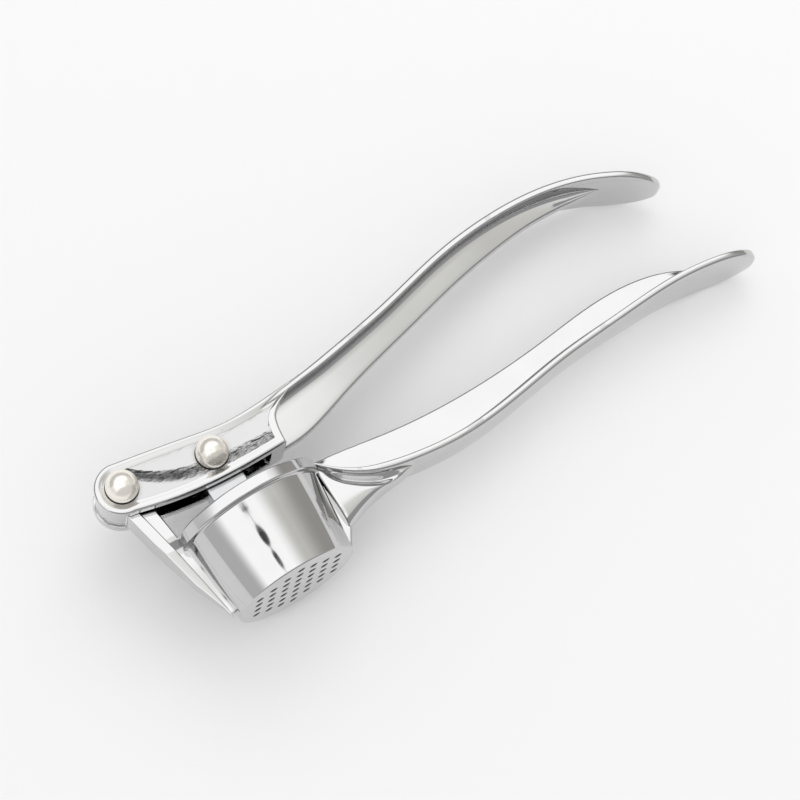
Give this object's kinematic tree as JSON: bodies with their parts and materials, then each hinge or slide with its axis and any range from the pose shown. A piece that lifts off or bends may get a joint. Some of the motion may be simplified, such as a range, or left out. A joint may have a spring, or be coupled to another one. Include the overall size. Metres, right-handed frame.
{
  "type": "garlic press",
  "caption": "Chrome-plated lever garlic press: round perforated cup on the lower handle, forked upper handle, hinged plunger.",
  "frame": {"origin": "middle of the bounding box's footprint, at the height of the cup's lowest point, with the press lying on its side", "axes": "+X from the pivot towards the handle tips, -Y out of the perforated face of the cup, +Z along the pivot axis"},
  "size_m": [0.1776, 0.0577, 0.0384],
  "materials": {
    "chrome_plate": "bright chrome plating over a die-cast body",
    "plunger_plate": "bright chrome plating",
    "nickel_rivet": "polished, nickel tint"
  },
  "bodies": {
    "lower": {"lower_handle": "chrome_plate"},
    "upper": {"upper_handle": "chrome_plate", "pivot_rivet": "nickel_rivet", "plunger_rivet": "nickel_rivet"},
    "plunger": {"plunger": "plunger_plate"}
  },
  "joints": [
    {"name": "handle_hinge", "type": "hinge", "parent": "lower", "child": "upper", "pos_m": [-0.0822, 0.0113, 0.0192], "axis": [0, 0, 1], "range_deg": [-8, 50]},
    {"name": "plunger_hinge", "type": "hinge", "parent": "upper", "child": "plunger", "pos_m": [-0.0593, 0.0081, 0.0192], "axis": [0, 0, 1], "range_deg": [-48, 8]}
  ],
  "couplings": [
    {"joint": "plunger_hinge", "follows": "handle_hinge", "ratio": -0.95}
  ]
}
